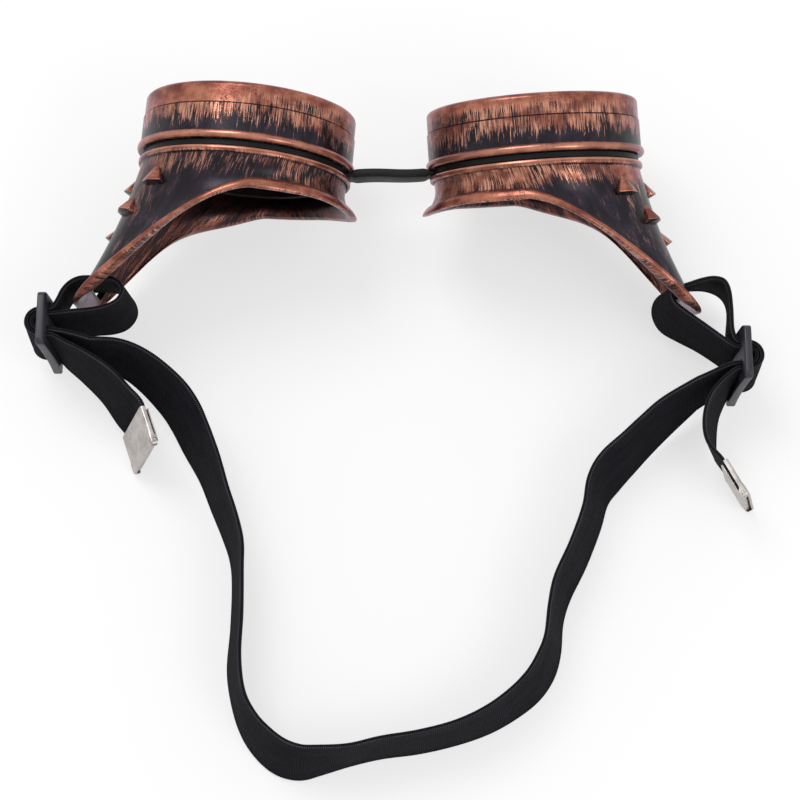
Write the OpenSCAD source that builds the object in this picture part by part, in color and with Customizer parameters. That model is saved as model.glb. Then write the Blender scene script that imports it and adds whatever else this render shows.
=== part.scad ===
// Goggles lying cheek side down with their lenses forward (+Y) and their elastic head strap behind.
// Each cup is drawn in its own frame: x toward the temple, y forward along the lens axis, z toward the brow.

/* [Lens] */
// Diameter of the round lens
lens_d = 50; // [46:1:54]
// Thickness of the lens
lens_t = 2; // [1.5:0.1:3]
// Width of the lip that holds the lens in
lens_lip = 1.5; // [1:0.1:2.5]
// Thickness of the rubber gasket behind the lens
gasket_t = 0.8; // [0.5:0.1:1.5]

/* [Screw ring] */
// Length of the ring from front to back
ring_depth = 16.3; // [12:0.1:20]
// Wall of the ring outside the thread
ring_wall = 2.3; // [1.8:0.1:3.5]
// Thickness of the front lip
lip_t = 2; // [1.5:0.1:3]
// Length of the slightly smaller front band
band_len = 6.2; // [4:0.1:8]
// Height of the bead at the back of the ring
bead_h = 0.8; // [0.4:0.1:1.4]
// Width of the bead at the back of the ring
bead_w = 2.2; // [1.4:0.1:3]
// Running gap between ring and barrel
thread_gap = 0.08; // [0.04:0.01:0.1]

/* [Cup] */
// Margin of the barrel outside the lens
barrel_margin = 2.6; // [2.2:0.1:4]
// Width of the seat that carries the lens
lens_seat = 1.3; // [0.8:0.1:2.5]
// Width of the groove that holds the bridge band
groove_w = 1.9; // [1.5:0.1:3]
// Thickness of the flange behind the groove
flange_t = 1.8; // [1.2:0.1:3]
// Wall of the moulded cup
cup_wall = 2; // [1.5:0.1:2.6]
// Half height of the rim that meets the face
rim_high = 27.5; // [24:0.5:30]
// Half height of the tongue that carries the strap
tongue_high = 21.5; // [19:0.5:23]
// Reach of the rim toward the nose
nose_reach = 32.5; // [30:0.5:36]
// Reach of the tongue toward the temple
tongue_reach = 42.3; // [38:0.1:48]
// Depth of the rim behind the ring front at the brow
brow_depth = 28.6; // [25:0.1:34]
// Depth of the tongue end behind the ring front
tongue_depth = 63.6; // [58:0.1:72]
// How much further the brow side reaches back than the cheek side
brow_extra = 3.2; // [0:0.1:5]
// How much more the cheek side is cut back between nose and tongue
cheek_cut = 3.6; // [0:0.1:5]
// Width of the bead round the rim
rim_bead_w = 2.2; // [1.4:0.1:3]
// Height of the bead round the rim
rim_bead_h = 0.7; // [0.3:0.1:1.2]

/* [Thorns and vents] */
// Width of a thorn
thorn_w = 6.8; // [4:0.1:8]
// Length of a thorn
thorn_l = 4.6; // [3:0.1:6]
// Height of a thorn
thorn_h = 2.8; // [1.5:0.1:4]
// Length of a vent slot
vent_l = 9; // [4:0.5:11]
// Width of a vent slot
vent_w = 1.5; // [1:0.1:2.5]

/* [Bridge] */
// Distance between the two ring centres
eye_gap = 79; // [74:0.5:90]
// Height of the bridge band
band_h = 6.5; // [4:0.1:9]
// Thickness of the bridge band between the cups
band_t = 2.2; // [1.6:0.1:3]
// Radial thickness of the band loops in the grooves
loop_wall = 1.3; // [0.9:0.1:2]

/* [Strap] */
// Width of the elastic strap
strap_w = 20; // [18:0.5:20.5]
// Thickness of the elastic strap
strap_t = 1.3; // [1:0.1:1.4]
// Length of the slot in the tongue, along the tongue
slot_l = 4.4; // [4:0.1:5]
// Play of the strap in every slot, over its whole width
slot_play = 1; // [0.6:0.1:2]

/* [Slider] */
// Height of the slider along the width of the strap
slider_h = 26; // [25:0.5:30]
// Width of the slider across its two slots
slider_w = 15.6; // [15.2:0.1:18]
// Thickness of the slider
slider_t = 2.6; // [2:0.1:3]
// Width of the slider's centre bar
slider_bar = 3; // [2.4:0.1:3.2]
// Width of each slot in the slider
slider_slot = 4; // [3.8:0.1:4.4]

/* [Clip] */
// Length of the clip along the strap
clip_l = 11.6; // [9:0.1:14]
// Thickness of the clip's sheet metal
clip_t = 0.6; // [0.4:0.05:0.8]
// Diameter of the clip's hinge pin
pin_d = 1.2; // [1:0.05:1.4]
// Running gap between hinge pin and rolled jaw
pin_gap = 0.05; // [0.03:0.01:0.1]

/* [Lay] */
// Turn of the left cup seen from above
left_yaw = -5.8; // [-12:0.1:4]
// Turn of the right cup seen from above
right_yaw = 4.2; // [-4:0.1:12]
// Upward tilt of the left cup
left_pitch = 11.5; // [8:0.5:18]
// Upward tilt of the right cup
right_pitch = 19; // [12:0.5:22]

/* [Hidden] */
LEFT = -1;
RIGHT = 1;
round_fn = 96;

// Radii from the lens outward
lens_r = lens_d / 2;
mouth_r = lens_r - lens_lip;
barrel_in = lens_r - lens_seat;
barrel_r = lens_r + barrel_margin;
bore_r = barrel_r + thread_gap;
ring_r = bore_r + ring_wall;
front_r = ring_r - 0.25;
flange_r = ring_r;
neck_r = flange_r - 1;

// Stations along the lens axis, negative behind the ring front
lens_play = 0.03;
lens_back = -lip_t - lens_play - lens_t;
barrel_front = lens_back - gasket_t;
groove_front = -ring_depth;
flange_front = groove_front - groove_w;
flange_back = flange_front - flange_t;
band_gap = 0.05;
band_mid = groove_front - groove_w / 2;

// Plan of the rim: an oval whose depth grows toward the tongue
rim_mid = (tongue_reach - nose_reach) / 2;
rim_half = (tongue_reach + nose_reach) / 2;
sweep_start = -5;
nose_drop = 2.2;

function rise(x) = let (k = min(max(x, 0), 1)) k * k * (3 - 2 * k);
function rim_depth(a) =
    brow_depth
    + (tongue_depth - brow_depth) * pow(max(a - sweep_start, 0) / (tongue_reach - sweep_start), 1.5)
    + nose_drop * pow(max(-a - 20, 0) / (nose_reach - 20), 2);
function rim_point(t) =
    let (c = cos(t), s = sin(t), a = rim_mid + rim_half * c)
    let (squareness = c < 0 ? 1 : 1 - 0.65 * c * c)
    let (high = rim_high - (rim_high - tongue_high) * rise((a - 5) / 29))
    let (cut = brow_extra + cheek_cut * sin(180 * rise(a / tongue_reach)))
    [a, -rim_depth(a) + cut * (1 - s) / 2, high * pow(abs(s), squareness) * sign(s)];
function around(t) = [cos(t), 0, sin(t)];
neck_y = flange_back + 0.6;
function neck_point(t) = neck_r * around(t) + [0, neck_y, 0];
// The wall dips inward between neck and rim, most of all at the brow, nose and cheek
wall_dip = 1.6;
function wall_point(t, u) =
    neck_point(t) + (rim_point(t) - neck_point(t)) * u - around(t) * wall_dip * sin(180 * u);

// Rows of the cup shell: outer wall, rim bead, then the inner wall back to the neck
cup_cols = 72;
wall_rows = 7;
bead_rows = [[1, 0.15], [0.75, 0.8], [0.5, 1], [0.22, 0.8], [0, 0.2]];
function bead_start(t) = 1 - rim_bead_w / norm(rim_point(t) - neck_point(t));
function outer_row(k) =
    [for (j = [0:cup_cols - 1]) let (t = 360 * j / cup_cols) wall_point(t, bead_start(t) * k / wall_rows)];
function bead_row(b) =
    [for (j = [0:cup_cols - 1])
        let (t = 360 * j / cup_cols, u = 1 - (1 - bead_start(t)) * b[0])
        wall_point(t, u) + around(t) * rim_bead_h * b[1]];
function inner_row(k) =
    [for (j = [0:cup_cols - 1])
        let (t = 360 * j / cup_cols) wall_point(t, 1 - k / wall_rows) - around(t) * cup_wall];
shell_rows = concat(
    [for (k = [0:wall_rows - 1]) outer_row(k)],
    [for (b = bead_rows) bead_row(b)],
    [for (k = [0:wall_rows]) inner_row(k)]
);

// Frame on the outer wall: x across, y rearward, z outward
function unit(v) = v / norm(v);
function wall_frame(t, u) =
    let (back = unit(wall_point(t, u + 0.02) - wall_point(t, u - 0.02)))
    let (side = wall_point(t + 2, u) - wall_point(t - 2, u))
    let (out = unit(cross(side, back)))
    [wall_point(t, u), unit(cross(back, out)), back, out];
function on_wall(f, p) = f[0] + f[1] * p[0] + f[2] * p[1] + f[3] * p[2];

// Thorns stand in rows of three, two and one, as [angle, place along the wall]
thorns = [[44, 0.21], [0, 0.16], [-44, 0.21], [26, 0.38], [-26, 0.38], [0, 0.49]];
thorn_root = 0.9;
// Vent slots behind the thorns, as places along the wall
vents = [0.62, 0.7];
// Place of the strap slot along the tongue
slot_u = 0.82;

// Where each cup lies: its ring rests on the table, or its rim if that reaches lower
cup_x = [-42, 37.1];
cup_y = [75.6, 75.2];
lay_shift = [1.56, 12.72, 0];
ring_mid_x = (cup_x[0] + cup_x[1]) / 2;
function pick(side, pair) = side < 0 ? pair[0] : pair[1];
function yaw(side) = pick(side, [left_yaw, right_yaw]);
function pitch(side) = pick(side, [left_pitch, right_pitch]);
function tilt(side, p) =
    let (a = pitch(side)) [p[0], p[1] * cos(a) - p[2] * sin(a), p[1] * sin(a) + p[2] * cos(a)];
bead_mid = -ring_depth + bead_w / 2;
function lowest(side) = min(concat(
    [tilt(side, [0, bead_mid, -ring_r - bead_h])[2]],
    [for (t = [180:5:360]) tilt(side, rim_point(t) + around(t) * rim_bead_h)[2]]
));
function cup_at(side) =
    [ring_mid_x + side * eye_gap / 2, pick(side, cup_y), -lowest(side)] + lay_shift;
function spin(a, p) = [p[0] * cos(a) - p[1] * sin(a), p[0] * sin(a) + p[1] * cos(a), p[2]];
function from_cup(side, p) =
    cup_at(side) + spin(yaw(side), tilt(side, [side * p[0], p[1], p[2]]));

// Sliders hang beside the tongues, measured from the middle of each strap slot
slot_mid = wall_point(0, slot_u) - [cup_wall / 2, 0, 0];
slider_from_slot = [[-13, -13.3, -4], [16.3, -22.1, -3.4]];
function slider_at(side) = from_cup(side, slot_mid) + pick(side, slider_from_slot);
// u runs inward from the slider, toward the tongue
function from_slider(side, p) = slider_at(side) + [-side * p[0], p[1], p[2]];

// Layers of strap in the slider
layer_gap = 0.2;
near_layer = slider_bar / 2 + layer_gap + strap_t / 2;
far_layer = near_layer + strap_t + layer_gap;
turn_u = -1.6;
join_dir = [0.93, -0.37, 0];

// Strap routes beside each slider, as [u, y, height, lean toward the left of travel]
main_route = [
    [[12, -6, -1, -8], [9, -4.8, -0.6, -6], [6, -3.6, -0.3, -3], [3.6, -2.7, 0, 0]],
    [[12, -7.8, -1, -8], [9, -6.2, -0.6, -6], [6, -4.3, -0.3, -3], [3.6, -2.8, 0, 0]]
];
loop_route = [
    [[3.4, 2.4, 0.4, 0], [7, 2.7, 0.8, 0], [12.5, 2.9, 1.6, 0], [17, 3.3, 2.4, 2], [20.6, 4.8, 3, 4],
     [22.4, 8.2, 3.6, 6], [20.4, 11.8, 4, 9], [16.8, 13.2, 4, 11], [13, 13.3, 4, 11], [9, 13.2, 3.4, 10],
     [6, 11.9, 2.4, 8], [3.9, 9.4, 1.4, 5], [2.9, 6.4, 0.6, 2]],
    [[3.4, 3.3, 0.2, 0], [6, 5.2, 0.5, 0], [10.6, 8.4, 1, 1], [15.8, 11.5, 1.8, 4], [19.8, 14.3, 2.6, 7],
     [21, 18.2, 3.2, 11], [19.5, 21.2, 3.4, 15], [16.3, 22.1, 3.4, 17], [12, 23.4, 3, 15], [7.5, 24, 2.4, 12],
     [3.8, 22.8, 1.8, 9], [2.2, 19.5, 1.4, 7], [2.1, 14, 0.8, 4], [2.4, 9, 0.4, 2], [2.5, 6.6, 0.2, 0]]
];
tail_route = [
    [[2.6, -4.5, 0, 1], [5, -6.2, -1, 4], [9.7, -9, -2.6, 9], [16.1, -13.8, -5, 15], [20.8, -19.2, -7, 19]],
    [[2.4, -4.9, 0, 2], [5, -7.9, -0.8, 7], [7.4, -12, -1.8, 12], [8.6, -17.6, -2.6, 15], [8.3, -23.4, -3, 14]]
];

// Clips at the strap tails, as [u, y] of the pin, heading and lean
clip_pin_at = [[27.4, -33.4], [-0.4, -38.2]];
clip_heading = [-71, -118];
clip_lean = [20, 12];
clip_floor = 0.3;
flange_in = strap_w / 2 + 0.1;
clip_half = flange_in + clip_t;
pin_r = pin_d / 2;
roll_in = pin_r + pin_gap;
roll_out = roll_in + 0.5;
ear_r = 1.5;
plate_y = strap_t / 2 + 0.05;
tail_stop = -1.9;
clip_front = 1.2 - clip_l;
function clip_lift(side) =
    let (a = pick(side, clip_lean)) clip_half * cos(a) + (plate_y + clip_t) * sin(a) + clip_floor;
function clip_at(side) =
    let (p = pick(side, clip_pin_at)) [p[0], p[1], clip_lift(side) - slider_at(side)[2]];
function clip_point(side, x) =
    let (a = pick(side, clip_heading)) clip_at(side) + x * [cos(a), sin(a), 0];
function flat_point(side, x) = concat(clip_point(side, x), [pick(side, clip_lean)]);

// Route of the strap behind the head, as [x, y, height above the table, lean toward the inside]
head_route = [
    [-78, 6.3, 6.6, 12], [-71, 2.3, 6.2, 18], [-64, -4.2, 5.2, 23], [-60, -9.7, 4.4, 25], [-57, -15.7, 3.4, 24],
    [-53, -24.2, 2.2, 19], [-50, -32.7, 0.8, 16], [-47, -40.7, 0, 14], [-45, -47.7, 0, 12], [-44.5, -55.2, 0, 10],
    [-44.5, -67.7, 0, 11], [-45, -79.7, 0, 12], [-43.5, -89.7, 0, 11], [-40.5, -96.7, 0, 14], [-36.5, -101.7, 0, 17],
    [-32, -105.2, 0, 18], [-27, -106.7, 0, 16], [-22, -106.2, 0, 11], [-13.5, -104.7, 0, 4], [-5, -102.7, 0, 4],
    [5, -101.2, 0, 5], [15, -98.7, 0, 6], [23.5, -95.2, 0, 9], [30.5, -90.7, 0, 12], [36, -85.7, 0, 15],
    [39.5, -80.2, 0, 16], [41.5, -74.2, 0, 14], [42.5, -65.7, 0, 13], [44.5, -58.2, 0, 15], [49, -48.7, 0, 16],
    [53, -38.2, 0, 17], [55, -30.2, 0, 20], [58.5, -24.7, 0, 23], [64, -19.2, 0.6, 20], [69, -14.2, 1.2, 18],
    [74.5, -9.2, 2, 16]
];

// Smooth curve through hand-chosen points of any length
function blend4(a, b, c, d, k) =
    0.5 * (2 * b + (c - a) * k + (2 * a - 5 * b + 4 * c - d) * k * k + (3 * b - a - 3 * c + d) * k * k * k);
function curve(p, n) =
    let (m = len(p) - 1)
    concat(
        [for (i = [0:m - 1], s = [0:n - 1])
            blend4(p[max(i - 1, 0)], p[i], p[i + 1], p[min(i + 2, m)], s / n)],
        [p[m]]
    );
function turn(r, from, to, n) =
    [for (i = [0:n]) let (a = from + (to - from) * i / n) [turn_u + r * cos(a), r * sin(a), 0, 0]];

// Four corners of a flat strip's section, for the strap at every point of a route
function corners(c, up, out) = [c + up + out, c + up - out, c - up - out, c - up + out];
function heading_at(p, i, first, last) =
    i == 0 && len(first) > 0 ? first
    : i == len(p) - 1 && len(last) > 0 ? last
    : let (d = p[min(i + 1, len(p) - 1)] - p[max(i - 1, 0)]) unit([d[0], d[1], d[2]]);
function section(c, dir, lean, w, t) =
    let (left = unit([-dir[1], dir[0], 0]), up = cos(lean) * [0, 0, 1] + sin(lean) * left)
    corners(c, up * w / 2, unit(cross(dir, up)) * t / 2);
function strap_sections(p, first = [], last = []) =
    [for (i = [0:len(p) - 1])
        section([p[i][0], p[i][1], p[i][2]], heading_at(p, i, first, last), p[i][3], strap_w, strap_t)];

function end_path(side) = concat(
    curve(concat(pick(side, main_route), [[1.6, -near_layer, 0, 0]]), 2),
    turn(near_layer, -90, -270, 8),
    curve(concat([[1.6, near_layer, 0, 0]], pick(side, loop_route), [[1.6, far_layer, 0, 0]]), 3),
    turn(far_layer, 90, 270, 10),
    curve(concat(
        [[1.6, -far_layer, 0, 0]], pick(side, tail_route),
        [flat_point(side, clip_front - 1.5), flat_point(side, clip_front), flat_point(side, tail_stop)]
    ), 3)
);
// The strap's edge dips by less than this between route points
edge_clear = 0.06;
function lying(p) =
    concat([p[0], p[1], p[2] + edge_clear + cos(p[3]) * strap_w / 2 + sin(p[3]) * strap_t / 2] + lay_shift, p[3]);
function join_point(side) =
    let (j = pick(side, main_route)[0]) concat(from_slider(side, j), [-j[3]]);
function turned(side, v) = [-side * v[0], v[1], v[2]];
head_path = curve(concat([join_point(LEFT)], [for (p = head_route) lying(p)], [join_point(RIGHT)]), 3);

// Bridge band between the two grooves, with its height leaning as the cups do
function nose_point(side, r) = from_cup(side, [-r, band_mid, 0]);
function cup_up(side) = from_cup(side, [0, 0, 1]) - cup_at(side);
span_r = ring_r + bead_h + 1;
bend = 8;
function span(k) =
    let (a = nose_point(LEFT, span_r), d = nose_point(RIGHT, span_r))
    let (b = nose_point(LEFT, span_r + bend), c = nose_point(RIGHT, span_r + bend), q = 1 - k)
    q * q * q * a + 3 * q * q * k * b + 3 * q * k * k * c + k * k * k * d;
band_steps = 10;
band_sections = [
    for (i = [0:band_steps])
        let (k = i / band_steps, c = span(k), step = 0.5 / band_steps)
        let (d = unit(span(min(k + step, 1)) - span(max(k - step, 0))))
        let (up = unit(cup_up(LEFT) * (1 - k) + cup_up(RIGHT) * k), out = unit(cross(d, up)))
        corners(c, up * band_h / 2, out * band_t / 2)
];

// Meshes over rows of points
function flat(rows) = [for (r = rows, p = r) p];
function strip_faces(n, m, last) = [
    for (i = [0:last], j = [0:m - 1])
        let (a = (i % n) * m, b = ((i + 1) % n) * m, k = (j + 1) % m)
        each [[a + j, a + k, b + k], [a + j, b + k, b + j]]
];
module hollow_mesh(rows) {
    n = len(rows);
    polyhedron(flat([for (i = [n - 1:-1:0]) rows[i]]), strip_faces(n, len(rows[0]), n - 1), convexity = 8);
}
module ribbon(sections) {
    n = len(sections);
    e = 4 * (n - 1);
    ends = [[2, 1, 0], [3, 2, 0], [e, e + 1, e + 2], [e, e + 2, e + 3]];
    polyhedron(flat(sections), concat(strip_faces(n, 4, n - 2), ends), convexity = 8);
}

module in_cup(side) {
    translate(cup_at(side)) rotate([0, 0, yaw(side)]) rotate([pitch(side), 0, 0]) {
        if (side < 0) mirror([1, 0, 0]) children();
        else children();
    }
}
module by_slider(side) {
    translate(slider_at(side)) {
        if (side > 0) mirror([1, 0, 0]) children();
        else children();
    }
}
module turned_on_axis() {
    rotate([-90, 0, 0]) rotate_extrude($fn = round_fn) children();
}
module block_on_wall(t, u, size) {
    f = wall_frame(t, u);
    c = [for (z = [-1, 1], y = [-1, 1], x = [-1, 1]) on_wall(f, [x * size[0], y * size[1], z * size[2]] / 2)];
    polyhedron(c, [[0, 1, 3, 2], [4, 6, 7, 5], [0, 4, 5, 1], [2, 3, 7, 6], [0, 2, 6, 4], [1, 5, 7, 3]]);
}

module thorn(t, u) {
    f = wall_frame(t, u);
    spread = 1 + thorn_root / thorn_h;
    c = [
        [0, -thorn_l * 0.7, 0], [-thorn_w / 2, thorn_l * 0.3, 0], [thorn_w / 2, thorn_l * 0.3, 0],
        [0, thorn_l * 0.5, thorn_h]
    ];
    foot = [for (i = [0:2]) c[3] + (c[i] - c[3]) * spread];
    polyhedron([for (p = concat(foot, [c[3]])) on_wall(f, p)], [[0, 2, 1], [0, 1, 3], [1, 2, 3], [2, 0, 3]]);
}

module barrel() {
    turned_on_axis() polygon([
        [barrel_in, barrel_front], [barrel_r - 0.4, barrel_front], [barrel_r, barrel_front - 0.4],
        [barrel_r, flange_front], [flange_r - 0.5, flange_front], [flange_r, flange_front - 0.5],
        [flange_r, flange_back + 0.5], [flange_r - 0.5, flange_back], [barrel_in, flange_back]
    ]);
}

module cup(side) {
    color("#5a3a32") in_cup(side) difference() {
        union() {
            barrel();
            hollow_mesh(shell_rows);
            for (p = thorns) thorn(p[0], p[1]);
        }
        block_on_wall(0, slot_u, [strap_w + slot_play, slot_l, 16]);
        for (u = vents) block_on_wall(0, u, [vent_l, vent_w, 12]);
    }
}

bead_arc = [for (i = [1:7]) [ring_r + bead_h * sin(22.5 * i), -ring_depth + bead_w * (1 - i / 8)]];
module ring(side) {
    seat_back = lens_back + 0.1;
    color("#6b4238") in_cup(side) turned_on_axis() polygon(concat(
        [[mouth_r, -0.5], [mouth_r + 0.5, 0], [front_r - 1.4, 0], [front_r - 0.5, -0.4], [front_r, -1.3],
         [front_r, -band_len], [ring_r, -band_len - 0.3], [ring_r, -ring_depth + bead_w]],
        bead_arc,
        [[ring_r, -ring_depth], [bore_r, -ring_depth], [bore_r, seat_back], [lens_r + 0.1, seat_back],
         [lens_r + 0.1, -lip_t], [mouth_r, -lip_t]]
    ));
}

module lens(side) {
    color("#1c1e22", 0.8) in_cup(side)
        rotate([-90, 0, 0]) translate([0, 0, lens_back]) cylinder(r = lens_r, h = lens_t, $fn = round_fn);
}

module gasket(side) {
    color("#202020") in_cup(side) turned_on_axis() polygon([
        [barrel_in, lens_back], [barrel_r - 0.4, lens_back],
        [barrel_r - 0.4, barrel_front], [barrel_in, barrel_front]
    ]);
}

module band_loop(side) {
    inner = barrel_r + band_gap;
    front = groove_front - band_gap;
    back = flange_front + band_gap;
    tab_r = inner + loop_wall / 2;
    in_cup(side) {
        turned_on_axis() polygon([
            [inner, front], [inner + loop_wall, front], [inner + loop_wall, back], [inner, back]
        ]);
        translate([-span_r - 1, back + 0.1, 0.2 - band_h / 2])
            cube([span_r + 1 - tab_r, front - back - 0.2, band_h - 0.4]);
    }
}
module bridge_band() {
    color("#181818") union() {
        band_loop(LEFT);
        band_loop(RIGHT);
        ribbon(band_sections);
    }
}

module head_strap() {
    color("#141414") ribbon(strap_sections(
        head_path, turned(LEFT, join_dir), -turned(RIGHT, join_dir)
    ));
}
module strap_end(side) {
    color("#1a1a1a") by_slider(side) ribbon(strap_sections(end_path(side), -join_dir));
}

module rounded_plate(w, h, r) {
    square([w - 2 * r, h], center = true);
    square([w, h - 2 * r], center = true);
    for (x = [-1, 1], y = [-1, 1]) translate([x * (w / 2 - r), y * (h / 2 - r)]) circle(r, $fn = 32);
}
module slider(side) {
    slot_at = (slider_bar + slider_slot) / 2;
    color("#35343a") by_slider(side) rotate([0, -90, 0])
        translate([0, 0, -slider_t / 2]) linear_extrude(slider_t) difference() {
            rounded_plate(slider_h, slider_w, 1.8);
            for (y = [-slot_at, slot_at])
                translate([0, y]) square([strap_w + slot_play, slider_slot], center = true);
        }
}

module in_clip(side) {
    by_slider(side) translate(clip_at(side)) rotate([0, 0, pick(side, clip_heading)])
        rotate([-pick(side, clip_lean), 0, 0]) children();
}
// The plate faces outward and the jaw lies on the inner face of the strap
module clip_body(side) {
    plate_l = -clip_front - roll_out - 0.15;
    color("#aaa6a4") in_clip(side) difference() {
        union() {
            translate([clip_front, -plate_y - clip_t, -clip_half]) cube([plate_l, clip_t, 2 * clip_half]);
            for (z = [-clip_half, flange_in]) translate([0, 0, z]) linear_extrude(clip_t) {
                polygon([
                    [clip_front, -plate_y - clip_t], [clip_front, plate_y * 0.4], [-3, ear_r * 0.9],
                    [0, ear_r], [ear_r * 0.8, 0], [1.2, -plate_y - clip_t]
                ]);
                circle(ear_r, $fn = 32);
            }
        }
        cylinder(r = pin_r + 0.02, h = 4 * clip_half, center = true, $fn = 32);
    }
}
module clip_jaw(side) {
    long = -clip_front - 0.6;
    wide = 2 * flange_in - 0.4;
    color("#b4b0ae") in_clip(side) difference() {
        union() {
            translate([-long, plate_y, -wide / 2]) cube([long, roll_out - plate_y, wide]);
            cylinder(r = roll_out, h = wide, center = true, $fn = 32);
        }
        cylinder(r = roll_in, h = 2 * wide, center = true, $fn = 32);
    }
}
module clip_pin(side) {
    color("#c0bcb8") in_clip(side) cylinder(r = pin_r, h = 2 * clip_half + 0.4, center = true, $fn = 32);
}

cup(LEFT);  // left_cup
cup(RIGHT);  // right_cup
ring(LEFT);  // left_ring
ring(RIGHT);  // right_ring
lens(LEFT);  // left_lens
lens(RIGHT);  // right_lens
gasket(LEFT);  // left_gasket
gasket(RIGHT);  // right_gasket
bridge_band();
head_strap();
strap_end(LEFT);  // left_strap_end
strap_end(RIGHT);  // right_strap_end
slider(LEFT);  // left_slider
slider(RIGHT);  // right_slider
clip_body(LEFT);  // left_clip_body
clip_body(RIGHT);  // right_clip_body
clip_jaw(LEFT);  // left_clip_jaw
clip_jaw(RIGHT);  // right_clip_jaw
clip_pin(LEFT);  // left_clip_pin
clip_pin(RIGHT);  // right_clip_pin
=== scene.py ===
import bpy
import bmesh
import math
import numpy as np
from math import radians
from mathutils import Matrix, Vector


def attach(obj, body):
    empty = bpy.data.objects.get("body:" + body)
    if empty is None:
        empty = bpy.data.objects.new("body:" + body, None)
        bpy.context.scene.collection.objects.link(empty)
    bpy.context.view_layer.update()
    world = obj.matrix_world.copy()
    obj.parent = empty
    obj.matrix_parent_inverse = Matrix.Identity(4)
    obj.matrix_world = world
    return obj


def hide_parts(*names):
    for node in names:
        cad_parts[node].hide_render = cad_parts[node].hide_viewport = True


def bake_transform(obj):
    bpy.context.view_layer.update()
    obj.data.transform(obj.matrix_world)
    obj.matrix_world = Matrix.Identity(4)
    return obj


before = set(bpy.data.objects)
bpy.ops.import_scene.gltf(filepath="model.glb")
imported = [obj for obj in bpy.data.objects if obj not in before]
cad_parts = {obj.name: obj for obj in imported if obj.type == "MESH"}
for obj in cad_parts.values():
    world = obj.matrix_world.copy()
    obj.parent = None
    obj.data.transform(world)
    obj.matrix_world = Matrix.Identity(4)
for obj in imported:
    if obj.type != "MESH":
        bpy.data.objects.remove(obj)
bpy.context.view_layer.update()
MM = 0.001
SIDES = {"left": -1, "right": 1}

# Where the middle of the photograph lies on the table, in millimetres: the camera aims at it, and the head
# strap's route is written from it
MIDDLE = np.array([1.56, 12.72, 0.0])

# Camera: above and behind the goggles, as in the photograph
CAMERA_FAR = 714.0
CAMERA_HIGH = radians(70)
FOCAL_PX = 2500
PHOTO_PX = 800
SENSOR_MM = 36

# Sizes in millimetres and angles in degrees, as in the part's source
LENS_R = 25.0
MOUTH_R = 23.5
BARREL_IN = 23.7
BARREL_R = 27.6
BORE_R = 27.68
RING_R = 29.98
FRONT_R = 29.73
BEAD_H, BEAD_W = 0.8, 2.2
RING_DEPTH = 16.3
BAND_LEN = 6.2
GROOVE_FRONT, FLANGE_FRONT, FLANGE_BACK = -16.3, -18.2, -20.0
BARREL_FRONT = -4.83
NECK_R, NECK_Y = 28.98, -19.4
RIM_HIGH, TONGUE_HIGH = 27.5, 21.5
NOSE_REACH, TONGUE_REACH = 32.5, 42.3
BROW_DEPTH, TONGUE_DEPTH = 28.6, 63.6
BROW_EXTRA, CHEEK_CUT = 3.2, 3.6
CUP_WALL, WALL_DIP = 2.0, 1.6
STRAP_W, STRAP_T = 20.0, 1.3
SLIDER_H, SLIDER_W, SLIDER_T = 26.0, 15.6, 2.6
BAR, SLOT_W = 3.0, 4.0
CUP_AT = {"left": [-40.39, 88.32, 33.2824], "right": [38.61, 87.92, 35.9676]}
YAW = {"left": -5.8, "right": 4.2}
PITCH = {"left": 11.5, "right": 19.0}
SLIDER_AT = {"left": [-96.6207, 25.896, 18.4504], "right": [96.6153, 17.3724, 14.8789]}

# The rims as in the photograph: lip and bead, what the tongues add to both, and the roll inside the tongues
RIM_LIP_W, RIM_BEAD_H = 3.2, 0.95
TONGUE_LIP_W, TONGUE_BEAD_H = 0.5, 0.35
INNER_ROLL_W, INNER_ROLL_H = 1.6, 1.3


# Small helpers
def unit(v):
    v = np.asarray(v, float)
    return v / np.linalg.norm(v, axis=-1, keepdims=True)


def rise(x):
    """Smooth step from 0 at x = 0 to 1 at x = 1."""
    k = np.clip(x, 0, 1)
    return k * k * (3 - 2 * k)


def cup_matrix(side):
    """From an eyecup's frame to the table's: x to the temple, y along the lens axis, z to the brow."""
    return (Matrix.Translation(CUP_AT[side]) @ Matrix.Rotation(radians(YAW[side]), 4, "Z")
            @ Matrix.Rotation(radians(PITCH[side]), 4, "X") @ Matrix.Diagonal((SIDES[side], 1, 1, 1)))


def placed(points, matrix):
    p = np.asarray(points, float)
    m = np.array(matrix)
    return p @ m[:3, :3].T + m[:3, 3]


def make(name, verts, faces, sharp=35, attrs=None):
    """A smooth-shaded object from points in millimetres; attrs holds a number or vector for each point."""
    mesh = bpy.data.meshes.new(name)
    mesh.from_pydata([tuple(v) for v in np.asarray(verts) * MM], [], [tuple(f) for f in faces])
    bm = bmesh.new()
    bm.from_mesh(mesh)
    bmesh.ops.recalc_face_normals(bm, faces=bm.faces)
    bm.to_mesh(mesh)
    bm.free()
    for key, values in (attrs or {}).items():
        values = np.asarray(values, np.float32)
        kind, field = ("FLOAT_VECTOR", "vector") if values.ndim == 2 else ("FLOAT", "value")
        mesh.attributes.new(key, kind, "POINT").data.foreach_set(field, values.ravel())
    mesh.shade_smooth()
    mesh.set_sharp_from_angle(angle=radians(sharp))
    obj = bpy.data.objects.new(name, mesh)
    bpy.context.scene.collection.objects.link(obj)
    return obj


def loft(rows, looped=False):
    """Points and faces of a tube over rows of points, capped at both ends or looped back to its first row."""
    n, m = rows.shape[:2]
    faces = []
    for i in range(n if looped else n - 1):
        a, b = i * m, (i + 1) % n * m
        for j in range(m):
            k = (j + 1) % m
            faces.append((a + j, a + k, b + k, b + j))
    if not looped:
        faces.append(tuple(range(m - 1, -1, -1)))
        faces.append(tuple(range((n - 1) * m, n * m)))
    return rows.reshape(-1, 3), faces


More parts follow.
